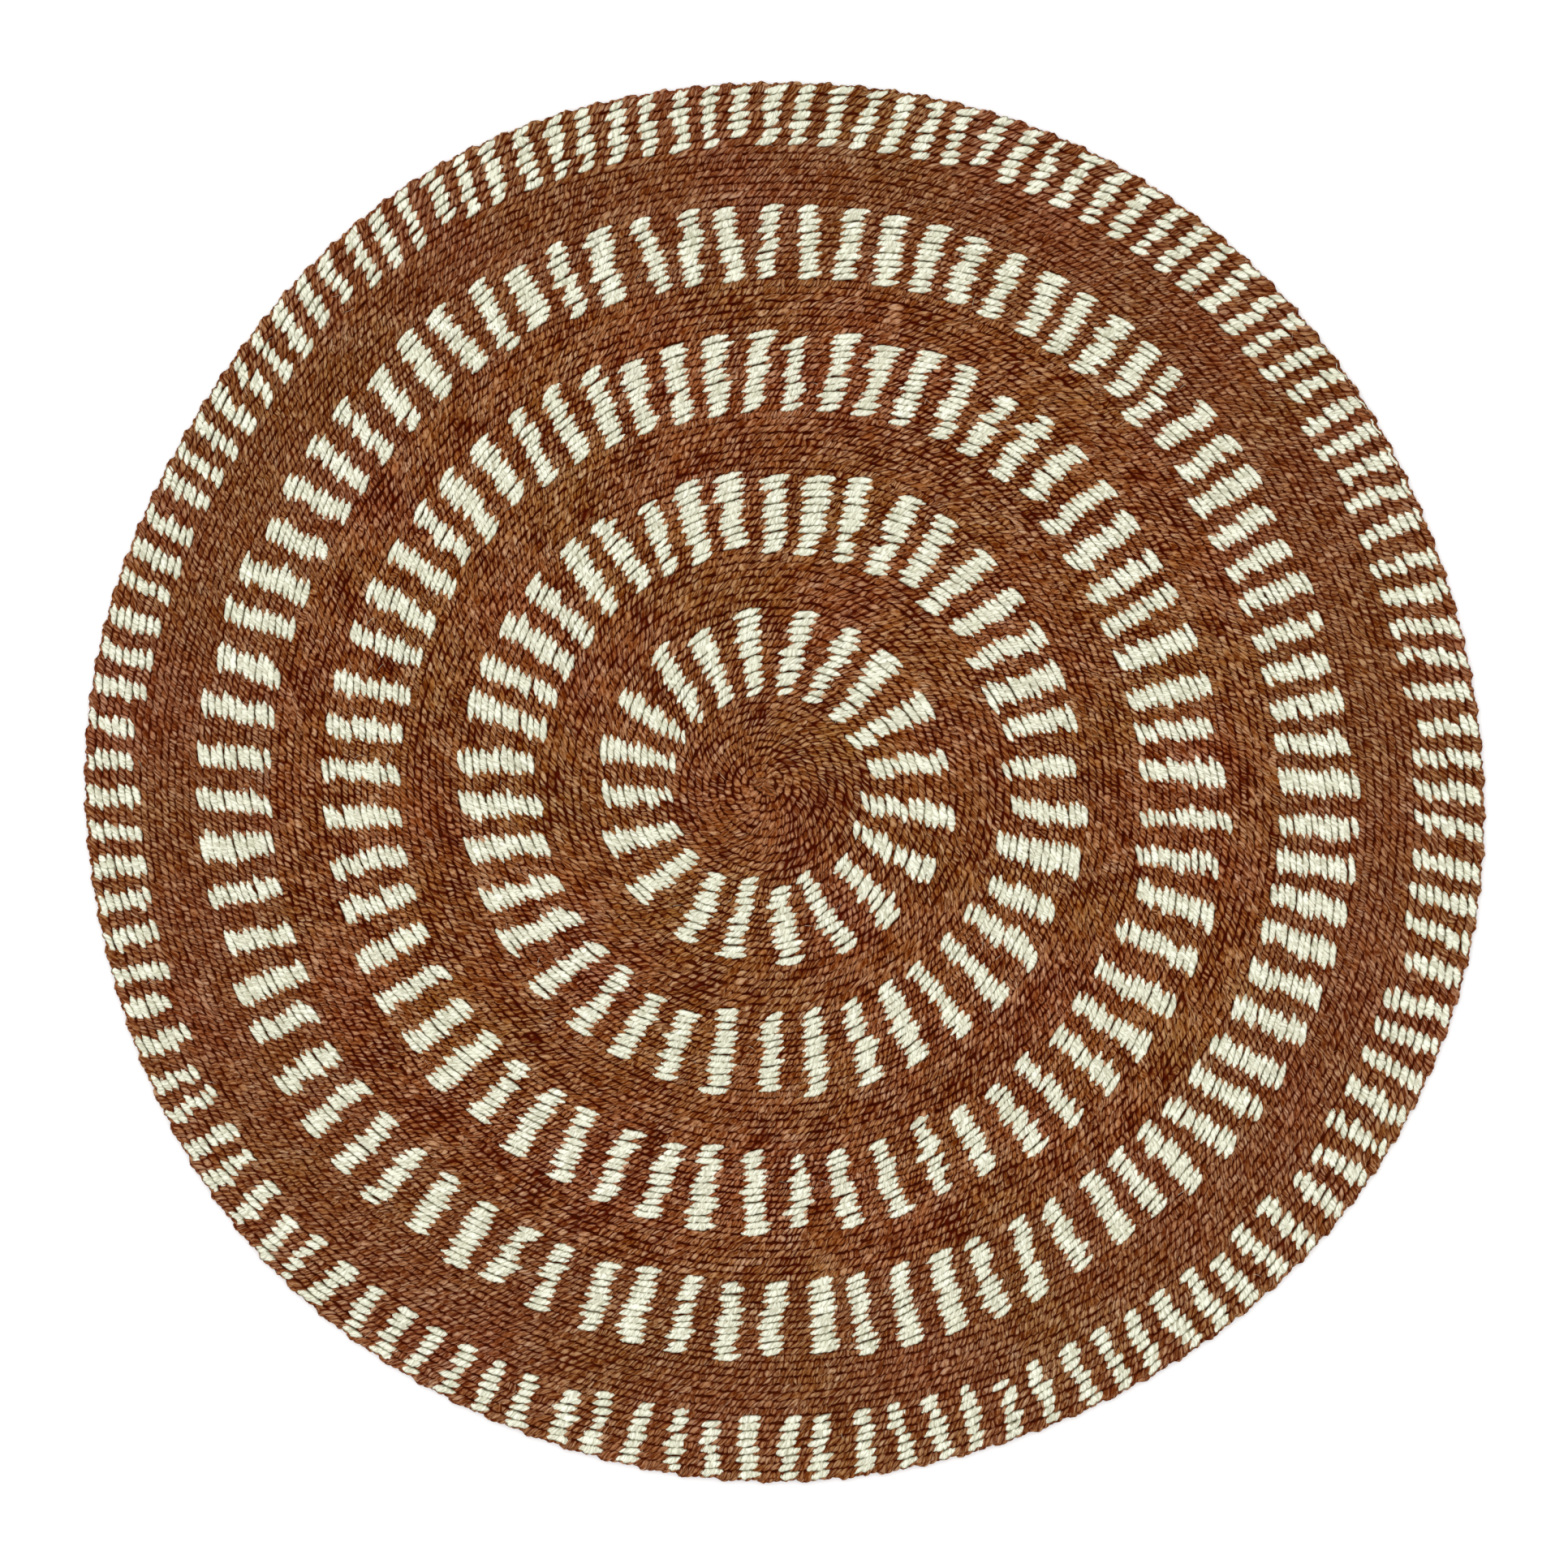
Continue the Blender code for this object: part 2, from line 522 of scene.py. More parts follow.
ZONES = (
    Zone("middle", 0.0623, 12, 0.0094, -0.0036),
    Zone("band_1", 0.1146, 11, 0.0060, -0.0008,
         Bars(20, 6.8, 3.0, 47, 0.038, 0.45, 0.035, 1.2, 3.9)),
    Zone("ring_1", 0.1501, 7, 0.0067, -0.0007),
    Zone("band_2", 0.2020, 12, 0.0072, 0.0011,
         Bars(40, 8.7, 3.7, 3, 0.040, 0.475, 0.045, 2.8, 3.2)),
    Zone("ring_2", 0.2399, 8, 0.0074, 0.0010),
    Zone("band_3", 0.2905, 12, 0.0060, 0.0010,
         Bars(60, 2.9, 4.2, -5, 0.042, 0.435, 0.040, 1.1, 3.4)),
    Zone("ring_3", 0.3252, 7, 0.0051, 0.0008),
    Zone("band_4", 0.3719, 11, 0.0055, 0.0007,
         Bars(80, 0.5, 5.3, -50, 0.054, 0.465, 0.040, 0.3, 3.4)),
    Zone("ring_4", 0.4104, 8, 0.0031, 0.0),
    Zone("band_5", 0.4500, 7, 0.0, 0.0,
         Bars(121, 2.2, 5.9, -5, 0.055, 0.48, 0.035, 3.8, 3.2)),
)
OUTER_ZONE = 7                # number of the first zone that is twined of softer yarn
RIM_WAVES = (
    Wave(2, 0.00078, -68),
    Wave(3, 0.00302, -22),
    Wave(4, 0.00096, -34),
    Wave(5, 0.00133, -24),
    Wave(6, 0.00075, -8),
    Wave(7, 0.00095, 16),
    Wave(8, 0.00049, -9),
)
SWAYS = (
    Sway(2, 0.00040, 0.11),
    Sway(3, 0.00045, -0.17),
    Sway(4, 0.00030, 0.23),
    Sway(5, 0.00025, -0.31),
    Sway(7, 0.00018, 0.41),
)
RUCK = Ruck(0.275, 0.095, 65, 55, 4, 0.0050)


@dataclass(frozen=True)
class RugPlan:
    """Where the rounds of the spiral lie, seen from above.

    A place on the rug is so many rounds out and at an angle.  The middle of the strand is
    one round further out each time the angle has gone around, counterclockwise.
    """

    zones: tuple[Zone, ...] = ZONES
    waves: tuple[Wave, ...] = RIM_WAVES
    sways: tuple[Sway, ...] = SWAYS
    ruck: Ruck = RUCK
    start_shift: float = 0.0136
    start_rise: float = -0.0010
    mean_radius: float = 0.45
    band_lead: float = 0.3      # rounds that a band starts early, inside its zone's edge
    end: float = 95.12          # rounds at which the strand ends
    run_out: float = 0.6        # radians over which its last round narrows to nothing
    edge_inset: float = 0.0019  # how far the last round lies inside the edge cord
    rim_points: int = 242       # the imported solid's rim, which is centred on the origin
    solid_scallop: float = 0.0005
    scallop: float = 0.0014
    step_phases: tuple[float, ...] = (0.0, 0.20, 0.28, 0.70, 0.78, 0.84, 1.0)
    step_heights: tuple[float, ...] = (-0.5, -0.7, 1.0, -0.2, -0.6, 0.4, -0.5)
    least_radius: float = 0.004  # taken for the first rounds, which have almost none

    @property
    def starts(self) -> Array:
        """Return the rounds at which each zone starts, and the whole."""
        return np.cumsum([0] + [zone.rounds for zone in self.zones])

    def change(self, number: int) -> float:
        """Return the rounds at which the yarn of a zone starts."""
        patterned = number < len(self.zones) and self.zones[number].bars is not None
        return float(self.starts[number]) - (self.band_lead if patterned else 0.0)

    def run_out_at(self, angle: Array) -> Array:
        """Return how much of the last round is gone at an angle along the spiral."""
        share = np.clip((angle - (self.end * TURN - self.run_out)) / self.run_out, 0, 1)
        return share * share * (3 - 2 * share)

    def rounds_at(self, angle: Array) -> Array:
        """Return the rounds from the middle to the rim in a direction."""
        since_end = (angle - self.end * TURN) % TURN
        last = self.end * TURN - TURN + since_end
        return last / TURN + 0.5 - self.run_out_at(last)

    def evened(self, rounds: Array, angle: Array) -> Array:
        """Stretch the outer band's rounds, so that the last one always meets the rim."""
        total, inner = self.starts[-1], self.starts[-2]
        outer = inner + (rounds - inner) * (total - inner) / (self.rounds_at(angle) - inner)
        return np.where(rounds > inner, outer, rounds)

    def radius(self, rounds: Array) -> Array:
        """Return the mean radius at so many rounds."""
        known = [0.0] + [zone.outer_radius for zone in self.zones]
        step = (known[-1] - known[-2]) / self.zones[-1].rounds
        return np.interp(rounds, [*self.starts, self.starts[-1] + 1], [*known, known[-1] + step])

    def arm(self, angle: float) -> float:
        """Return the mean radius at an angle along the spiral, or least_radius at least."""
        return max(float(self.radius(angle / TURN)), self.least_radius)

    def place(self, rounds: Array, angle: Array, inset: float | None = None) -> Array:
        """Find places in plan.

        Args:
            rounds: rounds out from the middle, along the spiral's own count.
            angle: direction from the middle, in radians.
            inset: how far inside the rim the rounds end, if not by edge_inset.

        Returns:
            X and Y of each place, in the last axis.
        """
        even = self.evened(np.maximum(rounds, 0.0), angle)
        shifts = [self.start_shift] + [zone.shift for zone in self.zones]
        rises = [self.start_rise] + [zone.rise for zone in self.zones]
        shift, rise = (np.interp(even, self.starts, known) for known in (shifts, rises))
        radius = self.radius(even)
        radius = radius + self.ruck.at(radius, angle)
        reach = radius / self.mean_radius
        radius = radius + sum(wave.at(angle) for wave in self.waves) * reach ** 2
        grown = np.clip(even / self.starts[-1], 0, 1)
        for sway in self.sways:
            bend = np.sin(sway.count * angle + sway.lag * even)
            radius = radius + sway.height * bend * np.sin(math.pi * grown)
        in_last = np.clip(even - (self.starts[-1] - 1), 0, 1)
        radius = radius + self.scallop * self.rim_step(angle) * in_last
        inset = self.edge_inset if inset is None else inset
        radius = radius - inset * np.clip(even - self.starts[-2], 0, None) / self.zones[-1].rounds
        middle_x, middle_y = self.middle
        x = radius * np.cos(angle) - shift - middle_x
        y = radius * np.sin(angle) + rise - middle_y
        return np.stack((x, y), -1)

    def rim_step(self, angle: Array) -> Array:
        """Return how far the edge stands out, from -1 to 1, along the outer band's bars.

        The rust-brown strand stands out most where it turns over the edge, just
        counterclockwise of a bar, and the cream one a little at the bar's other end.

        Args:
            angle: direction from the middle, in radians.

        Returns:
            The step in each direction.
        """
        bars = self.zones[-1].bars
        drift = math.radians(bars.drift) * np.cos(angle - math.radians(bars.drift_toward))
        phase = bars.count * (angle - drift - math.radians(bars.first)) / TURN % 1
        return np.interp(phase, self.step_phases, self.step_heights)

    @property
    def middle(self) -> tuple[float, float]:
        """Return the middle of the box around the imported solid's scalloped rim."""
        angle = TURN * np.arange(self.rim_points) / self.rim_points
        radius = self.mean_radius + sum(wave.at(angle) for wave in self.waves)
        radius = radius + self.solid_scallop * np.where(np.arange(self.rim_points) % 2, 1, -1)
        xs, ys = radius * np.cos(angle), radius * np.sin(angle)
        return float(xs.min() + xs.max()) / 2, float(ys.min() + ys.max()) / 2

    def pitch(self, angle: float) -> float:
        """Return the width of the round at an angle along the spiral."""
        rounds = angle / TURN + np.array([-0.5, 0.5])
        ends = self.place(rounds, np.full(2, angle))
        return float(np.linalg.norm(ends[1] - ends[0]))


# ---- Meshes ---------------------------------------------------------------------------
@dataclass
class Patchwork:
    """Vertices, faces of four corners and maps, gathered for one mesh."""

    places: list[Array] = field(default_factory=list)
    faces: list[Array] = field(default_factory=list)
    yarn: list[Array] = field(default_factory=list)
    bake: list[Array] = field(default_factory=list)
    dyes: list[Array] = field(default_factory=list)
    count: int = 0

    def add(self, places: Array, faces: Array, yarn: Array, bake: Array, dye: Dye) -> None:
        """Add a piece of mesh.

        Args:
            places: the vertices, one a row.
            faces: four vertex numbers a row, counted from 0 in this piece.
            yarn: the Yarn map at each corner of each face.
            bake: the bake map at each corner of each face.
            dye: the yarn it is made of.
        """
        self.places.append(places)
        self.faces.append(faces + self.count)
        self.yarn.append(yarn.reshape(-1, 2))
        self.bake.append(bake.reshape(-1, 2))
        self.dyes.append(np.full(len(faces), dye.value))
        self.count += len(places)

    def build(self, name: str, finishes: list[Material]) -> Piece:
        """Make the object.

        Args:
            name: its name.
            finishes: a material for each Dye, in order.

        Returns:
            The object, in the scene, smooth and with both maps.
        """
        places, faces = np.concatenate(self.places), np.concatenate(self.faces)
        mesh = bpy.data.meshes.new(name)
        mesh.vertices.add(len(places))
        mesh.vertices.foreach_set("co", places.astype(np.float32).ravel())
        mesh.loops.add(faces.size)
        mesh.loops.foreach_set("vertex_index", faces.astype(np.int32).ravel())
        mesh.polygons.add(len(faces))
        mesh.polygons.foreach_set("loop_start", np.arange(0, faces.size, 4, dtype=np.int32))
        mesh.polygons.foreach_set("use_smooth", np.ones(len(faces), dtype=bool))
        dyes = np.concatenate(self.dyes)
        used = sorted(set(dyes.tolist()))
        slots = np.array([used.index(dye) if dye in used else 0 for dye in range(len(Dye))])
        for dye in used:
            mesh.materials.append(finishes[dye])
        mesh.polygons.foreach_set("material_index", slots[dyes].astype(np.int32))
        for map_name, values in ((YARN_MAP, self.yarn), (BAKE_MAP, self.bake)):
            layer = mesh.uv_layers.new(name=map_name)
            layer.data.foreach_set("uv", np.concatenate(values).astype(np.float32).ravel())
        mesh.update(calc_edges=True)
        mesh.validate()
        made = bpy.data.objects.new(name, mesh)
        bpy.context.scene.collection.objects.link(made)
        return made


def grid_faces(rows: int, columns: int) -> Array:
    """Chart the faces of a grid.

    Args:
        rows: rows of vertices.
        columns: columns of vertices.

    Returns:
        The row and the column of each corner of each face.
    """
    row, column = np.meshgrid(np.arange(rows - 1), np.arange(columns - 1), indexing="ij")
    corners = ((0, 0), (0, 1), (1, 1), (1, 0))
    return np.stack(
        [np.stack((row + down, column + right), -1) for down, right in corners], 2
    ).reshape(-1, 4, 2)


HALVINGS = 22                 # tries, each halving what is left to find of the scale
WIDEST_STRIP = 0.98           # of the square


def shelf_places(widths: Array, heights: Array) -> tuple[Array, float]:
    """Lay strips on shelves in a unit square, as large as they fit.

    Args:
        widths: length of each strip in metres.
        heights: height of each strip in metres.

    Returns:
        The lower left corner of each strip and the scale from metres to the square.
    """
    gap = 2 * TEXEL
    low, high = 0.0, WIDEST_STRIP / widths.max()
    best = np.zeros((len(widths), 2))
    for _ in range(HALVINGS):
        scale = (low + high) / 2
        x = y = gap
        shelf = 0.0
        corners = []
        for width, height in zip(widths * scale, heights * scale):
            if x + width + gap > 1:
                x, y = gap, y + shelf + gap
                shelf = 0.0
            corners.append((x, y))
            x += width + gap
            shelf = max(shelf, height)
        if y + shelf + gap <= 1:
            low, best = scale, np.array(corners)
        else:
            high = scale
    return best, low


# ---- Yarn -----------------------------------------------------------------------------
@dataclass(frozen=True)
class StrandForm:
    """How one kind of stretch stands up from the rug.  Widths are in rounds."""

    across: tuple[float, ...]   # degrees around the yarn at which it is drawn
    half_width: float
    top: float                  # height of its crest over the floor
    fullness: float             # how far its side lies below its crest
    ply: float = 0.0039         # length of a ply turn along the yarn
    steps: tuple[float, ...] = (0.0, 0.3, 0.7)
    ply_depth: float = 0.0011   # depth of the crease between two plies
    pinch: float = 0.24         # how much narrower the yarn is there
    leaf: bool = False          # swells from point to point
    dive: float = 0.0           # metres over which each end goes down
    tip_height: float = 0.0054
    tip_width: float = 0.5      # share of its width left at an end
    lean: float = 0.0           # how far its clockwise end lies outward
    lean_plies: float = 0.0     # plies to a lean, where a stretch holds several
    uneven: float = 0.28        # how much ply turns differ in length
    swell: float = 0.13         # how much they differ in width
    stray: float = 0.07         # how far a ply turn sits off the round
    bulge: float = 0.00022      # how much they differ in height
    bend: float = 0.0           # how much a stretch bows sideways
    slant: float = 0.63         # how far a crease runs along the yarn as it crosses it
    slant_spread: float = 0.24  # how much creases differ in that
    pull: float = 0.11          # how much stretches differ in ply length
    coarse: bool = False        # drawn with few points, its plies left to the finish
    belly: tuple[float, float] = (0.8, 1.25)    # 1 is a leaf that is widest at its middle
    width_blunt: float = 0.54   # how pointed a leaf is: less is blunter
    rise_blunt: float = 0.40    # and how steeply its ends come up


RING_STRAND = StrandForm(
    across=(-80, -27, 27, 80), half_width=0.58, top=0.0078, fullness=0.0020,
    lean=0.09, lean_plies=3.4,
)
RUST_FLOAT = replace(RING_STRAND, dive=0.0034, lean=0.06, lean_plies=0.0)
CREAM_FLOAT = StrandForm(
    across=(-80, -42, 0, 42, 80), half_width=0.68, top=0.0083, fullness=0.0025,
    ply_depth=0.00028, pinch=0.07, leaf=True, tip_height=0.0056, tip_width=0.1,
    lean=0.26, uneven=0.18, swell=0.08, stray=0.05, bend=0.09, slant=0.45,
)
EDGE_CREAM_FLOAT = replace(
    CREAM_FLOAT, half_width=0.61, top=0.0082, lean=0.14, swell=0.09, stray=0.04, bend=0.07,
    slant=0.40,
)
UNDER_STRAND = StrandForm(
    across=(-75, 0, 75), half_width=0.52, top=0.0080, fullness=0.0022, coarse=True,
)
UNDER_FLOAT = replace(
    UNDER_STRAND, half_width=0.54, leaf=True, tip_height=0.0060, tip_width=0.35, lean=0.2
)


@dataclass
class Stretch:
    """One stretch of yarn, worked out but not yet placed."""

    angle: Array           # along the spiral, a row for each point along the yarn
    rounds: Array
    height: Array
    yarn: Array
    run: Array             # metres along the yarn and around it
    dye: Dye


@dataclass
class YarnWork:
    """Lays stretches of yarn along the spiral and makes one mesh of them."""

    plan: RugPlan
    chance: Chance
    side: Side
    ply: int                    # number of the next ply turn, which its shade comes from
    pull: float = 0.0           # how hard the spinner has just been pulling
    pull_kept: float = 0.8      # share of that which goes on into the next stretch
    full_slant: float = 0.03    # radius from which creases have their whole slant
    around: float = 1.3         # the way around the yarn's shown side, in widths
    least: float = 1e-6         # radians, too little to be a stretch
    stretches: list[Stretch] = field(default_factory=list)

    def lay(self, start: float, stop: float, form: StrandForm, dye: Dye) -> None:
        """Lay a stretch of yarn.

        Args:
            start: angle along the spiral where it starts, in radians.
            stop: angle where it ends.
            form: how it stands up.
            dye: its colour.
        """
        radius = self.plan.arm((start + stop) / 2)
        length = (stop - start) * radius
        self.pull = self.pull_kept * self.pull + self.chance.normal(0, form.pull)
        plies = max(2, round(length / form.ply / math.exp(self.pull)))
        marks = self._marks(plies, form)
        sizes = np.exp(self.chance.normal(0, form.uneven, plies))
        ends = np.append(0.0, np.cumsum(sizes)) / sizes.sum()
        share = np.interp(marks, np.arange(plies + 1), ends)
        raised = np.ones(len(marks)) if form.coarse else np.where(marks % 1 > 0, 1.0, 0.0)
        spread, rise = self._ends(share, length, form)
        turn = np.minimum(marks.astype(int), plies - 1)
        swell = 1 + self.chance.normal(0, form.swell, plies)[turn] * raised
        width = form.half_width * swell * (1 - form.pinch * (1 - raised)) * spread
        angle = start + share * (stop - start)
        gone = self.plan.run_out_at(angle)
        width = width * (1 - gone)
        crest = form.tip_height + (form.top - form.tip_height) * rise
        crest = crest - form.ply_depth * (1 - raised) * rise
        crest = crest + self.chance.normal(0, form.bulge, plies)[turn] * raised
        sideways = self._lean(share, marks, form) - gone / 2
        sideways = sideways + self.chance.normal(0, form.stray, plies)[turn] * raised
        sideways = sideways + self.chance.normal(0, form.bend) * np.sin(math.pi * share)
        slants = form.slant * (1 + self.pull)
        slants = slants + self.chance.normal(0, form.slant_spread, plies + 1)
        slants[[0, -1]] = form.slant
        slant = np.interp(marks, np.arange(plies + 1), slants)
        self._keep(angle, width, crest, sideways, slant, marks, share * length, radius, form, dye)
        self.ply += plies

    def run(
        self, start: float, stop: float, form: StrandForm, plies: int, widest: float, rest: float
    ) -> None:
        """Lay rust-brown yarn without a break, a stretch at a time.

        Args:
            start: angle along the spiral where it starts, in radians.
            stop: angle where it ends.
            form: how it stands up.
            plies: ply turns in a stretch.
            widest: the most that a stretch goes around, in radians.
            rest: share of a stretch that is too short to be one.
        """
        while start < stop - self.least:
            after = start + min(plies * form.ply / self.plan.arm(start), widest)
            if stop - after < rest * (after - start):
                after = stop
            self.lay(start, after, form, Dye.RUST)
            start = after

    def _marks(self, plies: int, form: StrandForm) -> Array:
        """Return the points along a stretch, counted in ply turns."""
        if form.coarse:
            return np.linspace(0, plies, max(4, plies // 2 + 1))
        return np.append(np.add.outer(np.arange(plies), form.steps), plies)

    def _ends(self, share: Array, length: float, form: StrandForm) -> tuple[Array, Array]:
        """Find how the stretch narrows and goes down toward its ends.

        Args:
            share: how far along the stretch each point lies, from 0 to 1.
            length: the stretch's length.
            form: how it stands up.

        Returns:
            Its width and its rise at each point, as shares.
        """
        if form.leaf:
            bow = np.sin(math.pi * share ** self.chance.uniform(*form.belly)).clip(0.0)
            width = form.tip_width + (1 - form.tip_width) * bow ** form.width_blunt
            return width, bow ** form.rise_blunt
        if form.dive == 0:
            return np.ones_like(share), np.ones_like(share)
        inside = np.clip(np.minimum(share, 1 - share) * length / form.dive, 0, 1)
        rise = np.sin(inside * math.pi / 2)
        return form.tip_width + (1 - form.tip_width) * rise, rise

    def _lean(self, share: Array, marks: Array, form: StrandForm) -> Array:
        """Return how far outward each point lies because the strand leans."""
        share = (self.ply + marks) / form.lean_plies % 1 if form.lean_plies else share
        return form.lean * (1 - 2 * share)

    def _keep(
        self, angle: Array, width: Array, crest: Array, sideways: Array, slant: Array,
        marks: Array, run: Array, radius: float, form: StrandForm, dye: Dye,
    ) -> None:
        """Spread a stretch's points across the yarn and keep it for build.

        Args:
            angle: where each point lies along the spiral.
            width: half the yarn's width there, in rounds.
            crest: its height there.
            sideways: how far outward it lies there, in rounds.
            slant: how far its crease runs along the yarn there.
            marks: how far along it each point lies, in ply turns.
            run: the same in metres.
            radius: the stretch's own radius.
            form: how it stands up.
            dye: its colour.
        """
        around = np.radians(form.across)
        pitch = self.plan.pitch(float(angle.mean()))
        off = width[:, None] * np.sin(around)
        slip = slant[:, None] * width[:, None] * around * self.side.value
        along = angle[:, None] - slip * min(1.0, radius / self.full_slant) * pitch / radius
        share = (width / form.half_width)[:, None]
        height = crest[:, None] - form.fullness * share * (1 - np.cos(around))
        if self.side is Side.UNDER:
            height = np.maximum(UNDER_STRAND.top - height, 0.0)
        girth = self.around * 2 * form.half_width * pitch
        ones = np.ones_like(off)
        part = (np.array(form.across) - form.across[0]) / (form.across[-1] - form.across[0])
        self.stretches.append(
            Stretch(
                angle=along,
                rounds=along / TURN + sideways[:, None] + off,
                height=height,
                yarn=np.stack(((self.ply + marks)[:, None] * ones, part * ones), -1),
                run=np.stack((run[:, None] * ones, part * girth * ones), -1),
                dye=dye,
            )
        )

    def build(self, name: str, finishes: list[Material]) -> Piece:
        """Make one object of all the yarn laid so far.

        Args:
            name: its name.
            finishes: a material for each Dye.

        Returns:
            The object.
        """
        spans = np.array([stretch.run.reshape(-1, 2).max(0) for stretch in self.stretches])
        corners, scale = shelf_places(spans[:, 0], spans[:, 1])
        work = Patchwork()
        for stretch, corner in zip(self.stretches, corners):
            rows, columns = stretch.angle.shape
            plan = self.plan.place(stretch.rounds, stretch.angle)
            places = np.concatenate((plan, stretch.height[..., None]), -1).reshape(-1, 3)
            picked = grid_faces(rows, columns)
            if self.side is Side.UNDER:
                picked = picked[:, ::-1]
            faces = picked[..., 0] * columns + picked[..., 1]
            yarn = stretch.yarn.reshape(-1, 2)[faces]
            bake = corner + stretch.run.reshape(-1, 2)[faces] * scale
            work.add(places, faces, yarn, bake, stretch.dye)
        return work.build(name, finishes)


# ---- Sub-assemblies -------------------------------------------------------------------
@dataclass
class Weft:
    """The upper side of one zone: the rounds of weft that show there."""

    plan: RugPlan
    number: int                     # of the zone, from the middle
    chance: Chance
    first_turn: float = 0.72        # rounds at which the spiral's first strand appears
    run_plies: int = 22             # ply turns drawn as one stretch in a plain ring
    overlap: float = 0.0045         # how far two floats run over each other
    tips: float = 0.0040            # length of a cream float's thin ends
    row_spread: float = 0.0020      # how much cream floats of one bar differ in length
    row_wobble: float = 0.0011      # and how far one sits off the bar's line
    late_start: float = 0.16        # chance that a bar starts or stops a round off
    shortest: float = 0.0080        # shortest cream float
    narrowest: float = 0.0060       # least rust-brown between two cream floats
    rest: float = 0.3               # share of a stretch in a ring that joins the one before

    @property
    def zone(self) -> Zone:
        """Return the zone."""
        return self.plan.zones[self.number]

    @property
    def span(self) -> tuple[float, float]:
        """Return where the zone starts and stops, in radians along the spiral."""
        start, stop = self.plan.change(self.number), self.plan.change(self.number + 1)
        if self.number == 0:
            start = self.first_turn
        if self.number == len(self.plan.zones) - 1:
            stop = self.plan.end
        return start * TURN, stop * TURN

    def cream_floats(self) -> list[tuple[float, float]]:
        """Chart the cream floats of a patterned band.

        Returns:
            Where each starts and stops along the spiral, in order.
        """
        bars = self.zone.bars
        start, stop = self.span
        floats = []
        spacing = TURN / bars.count
        for number in range(bars.count):
            place = math.radians(bars.first) + spacing * number
            place += math.radians(bars.drift) * math.cos(place - math.radians(bars.drift_toward))
            place += self.chance.normal(0, bars.uneven) * spacing
            floats += self._bar(place % TURN, start, stop)
        return self._parted(sorted(floats))

    def _bar(self, place: float, start: float, stop: float) -> list[tuple[float, float]]:
        """Chart one bar, a float for each round that it crosses.

        Args:
            place: direction of the bar's middle, in radians.
            start: angle along the spiral where the band starts.
            stop: angle where it stops.

        Returns:
            Where each float starts and stops along the spiral.
        """
        bars = self.zone.bars
        lean = math.tan(math.radians(self.chance.normal(bars.lean, bars.lean_spread)))
        share = self.chance.normal(bars.share, bars.share_spread)
        first = start + (place - start) % TURN
        angles = np.arange(first, stop, TURN)
        if self.chance.random() < self.late_start:
            angles = angles[1:]
        if self.chance.random() < self.late_start and self.number < len(self.plan.zones) - 1:
            angles = angles[:-1]
        radii = self.plan.radius(angles / TURN)
        slip = -lean * (radii - radii.mean()) + self.chance.normal(0, self.row_wobble, len(radii))
        lengths = share * TURN / bars.count * radii + self.tips
        lengths = lengths + self.chance.normal(0, self.row_spread, len(radii))
        halves = np.maximum(lengths, self.shortest) / 2
        return list(zip(angles + (slip - halves) / radii, angles + (slip + halves) / radii))

    def _parted(self, floats: list[tuple[float, float]]) -> list[tuple[float, float]]:
        """Shorten floats that would meet, so that some rust-brown shows between them.

        Args:
            floats: where each starts and stops, in order.

        Returns:
            The same for the shortened ones.
        """
        parted = [floats[0]]
        for start, stop in floats[1:]:
            radius = self.plan.arm(start)
            close = self.narrowest - (start - parted[-1][1]) * radius
            if close > 0:
                before, after = parted[-1]
                parted[-1] = (before, after - close / radius / 2)
                start += close / radius / 2
            parted.append((start, stop))
        return parted

    def weave(self, finishes: list[Material]) -> Piece:
        """Weave the zone's upper side.

        Args:
            finishes: a material for each Dye.

        Returns:
            The zone's yarn as one object.
        """
        work = YarnWork(self.plan, self.chance, Side.UPPER, ZONE_PLIES * self.number)
        if self.zone.bars is None:
            work.run(*self.span, RING_STRAND, self.run_plies, TURN / 2, self.rest)
        else:
            self._patterned(work)
        return work.build(f"{self.zone.name}_yarn", finishes)

    def _patterned(self, work: YarnWork) -> None:
        """Lay a patterned band: cream floats, and rust-brown ones that dive under them.

        Args:
            work: the yarn being gathered.
        """
        last = self.number == len(self.plan.zones) - 1
        cream = EDGE_CREAM_FLOAT if last else CREAM_FLOAT
        before, stop = self.span
        for start, end in self.cream_floats():
            lap = self.overlap / self.plan.arm(start)
            if start + lap > before:
                work.lay(before, start + lap, RUST_FLOAT, Dye.RUST)
            work.lay(start, end, cream, Dye.CREAM)
            before = end - lap
        if stop > before:
            work.lay(before, stop, RUST_FLOAT, Dye.RUST)


